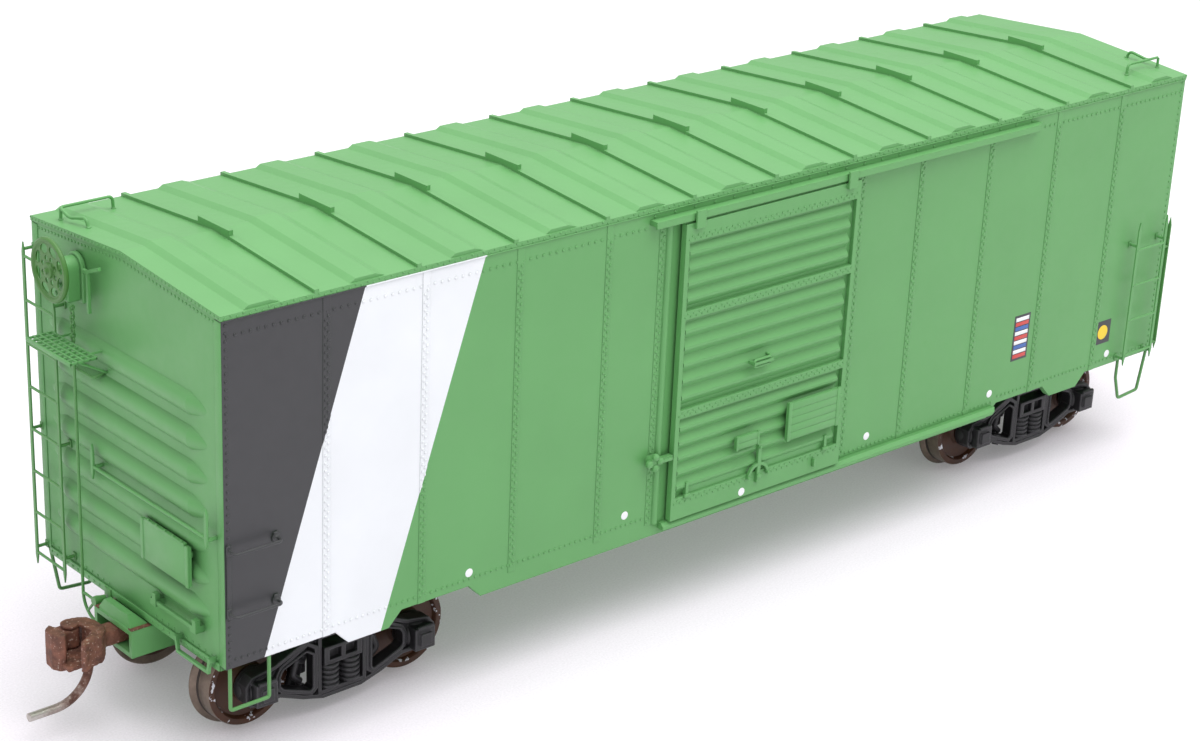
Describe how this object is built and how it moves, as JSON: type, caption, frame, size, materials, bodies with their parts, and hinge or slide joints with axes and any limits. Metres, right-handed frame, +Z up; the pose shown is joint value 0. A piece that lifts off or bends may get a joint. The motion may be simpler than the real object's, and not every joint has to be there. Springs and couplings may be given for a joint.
{
  "type": "railroad boxcar",
  "caption": "Scale model of a steel railroad boxcar with sliding side doors, corrugated ends, swivelling trucks and swinging knuckle couplers, in light green with black and white bands.",
  "frame": {"origin": "middle of the car at the level of the lowest point of the wheel flanges", "axes": "+X along the car towards the end without the hand brake, +Y across, +Z up"},
  "size_m": [0.166, 0.0376, 0.0506],
  "materials": {
    "body_green": "satin light green paint",
    "truck_black": "matt black",
    "wheel_metal": "brown paint, bare on the treads",
    "coupler_rust": "matt rust brown"
  },
  "bodies": {
    "carbody": {"air_reservoir": "body_green", "brake_chain": "body_green", "brake_cylinder": "body_green", "brake_housing": "body_green", "brake_lever": "body_green", "brake_platform": "body_green", "brake_sheave": "body_green", "brake_valve": "body_green", "brake_wheel": "body_green", "coupler_box_brake": "body_green", "coupler_box_plain": "body_green", "end_board_brake": "body_green", "end_board_plain": "body_green", "end_brake": "body_green", "end_plain": "body_green", "end_rail_brake": "body_green", "end_rail_plain": "body_green", "floor_board": "body_green", "grabs_left": "body_green", "grabs_right": "body_green", "ladder_end_brake": "body_green", "ladder_end_plain": "body_green", "ladder_side_left": "body_green", "ladder_side_right": "body_green", "placard_brake": "body_green", "placard_plain": "body_green", "roof": "body_green", "roof_grab_brake": "body_green", "roof_grab_plain": "body_green", "side_left": "body_green", "side_right": "body_green", "step_left_brake": "body_green", "step_left_plain": "body_green", "step_right_brake": "body_green", "step_right_plain": "body_green", "track_lower_left": "body_green", "track_lower_right": "body_green", "track_upper_left": "body_green", "track_upper_right": "body_green", "underframe": "body_green"},
    "door_left": {"door_board_left": "body_green", "door_card_left": "body_green", "door_left": "body_green", "door_lock_left": "body_green"},
    "door_right": {"door_board_right": "body_green", "door_card_right": "body_green", "door_lock_right": "body_green", "door_right": "body_green"},
    "truck_brake": {"truck_frame_brake": "truck_black"},
    "truck_plain": {"truck_frame_plain": "truck_black"},
    "coupler_brake": {"coupler_brake": "coupler_rust"},
    "coupler_plain": {"coupler_plain": "coupler_rust"},
    "knuckle_brake": {"knuckle_brake": "coupler_rust"},
    "knuckle_plain": {"knuckle_plain": "coupler_rust"},
    "wheelset_1": {"wheelset_1": "wheel_metal"},
    "wheelset_2": {"wheelset_2": "wheel_metal"},
    "wheelset_3": {"wheelset_3": "wheel_metal"},
    "wheelset_4": {"wheelset_4": "wheel_metal"}
  },
  "joints": [
    {"name": "door_left_slide", "type": "slide", "parent": "carbody", "child": "door_left", "axis": [1, 0, 0], "range_m": [0, 0.0275]},
    {"name": "door_right_slide", "type": "slide", "parent": "carbody", "child": "door_right", "axis": [-1, 0, 0], "range_m": [0, 0.0275]},
    {"name": "truck_brake_swivel", "type": "hinge", "parent": "carbody", "child": "truck_brake", "pos_m": [-0.05375, 0, 0.0094], "axis": [0, 0, 1], "range_deg": [-8, 8]},
    {"name": "truck_plain_swivel", "type": "hinge", "parent": "carbody", "child": "truck_plain", "pos_m": [0.05375, 0, 0.0094], "axis": [0, 0, 1], "range_deg": [-8, 8]},
    {"name": "wheelset_1_spin", "type": "hinge", "parent": "truck_brake", "child": "wheelset_1", "pos_m": [-0.06365, 0, 0.00545], "axis": [0, 1, 0], "continuous": true},
    {"name": "wheelset_2_spin", "type": "hinge", "parent": "truck_brake", "child": "wheelset_2", "pos_m": [-0.04385, 0, 0.00545], "axis": [0, 1, 0], "continuous": true},
    {"name": "wheelset_3_spin", "type": "hinge", "parent": "truck_plain", "child": "wheelset_3", "pos_m": [0.04385, 0, 0.00545], "axis": [0, 1, 0], "continuous": true},
    {"name": "wheelset_4_spin", "type": "hinge", "parent": "truck_plain", "child": "wheelset_4", "pos_m": [0.06365, 0, 0.00545], "axis": [0, 1, 0], "continuous": true},
    {"name": "coupler_brake_swing", "type": "hinge", "parent": "carbody", "child": "coupler_brake", "pos_m": [-0.0646, 0, 0.0099], "axis": [0, 0, 1], "range_deg": [-8, 8]},
    {"name": "knuckle_brake_open", "type": "hinge", "parent": "coupler_brake", "child": "knuckle_brake", "pos_m": [-0.0769, 0.0019, 0.0099], "axis": [0, 0, -1], "range_deg": [0, 25]},
    {"name": "coupler_plain_swing", "type": "hinge", "parent": "carbody", "child": "coupler_plain", "pos_m": [0.0646, 0, 0.0099], "axis": [0, 0, 1], "range_deg": [-8, 8]},
    {"name": "knuckle_plain_open", "type": "hinge", "parent": "coupler_plain", "child": "knuckle_plain", "pos_m": [0.0769, -0.0019, 0.0099], "axis": [0, 0, -1], "range_deg": [0, 25]}
  ]
}
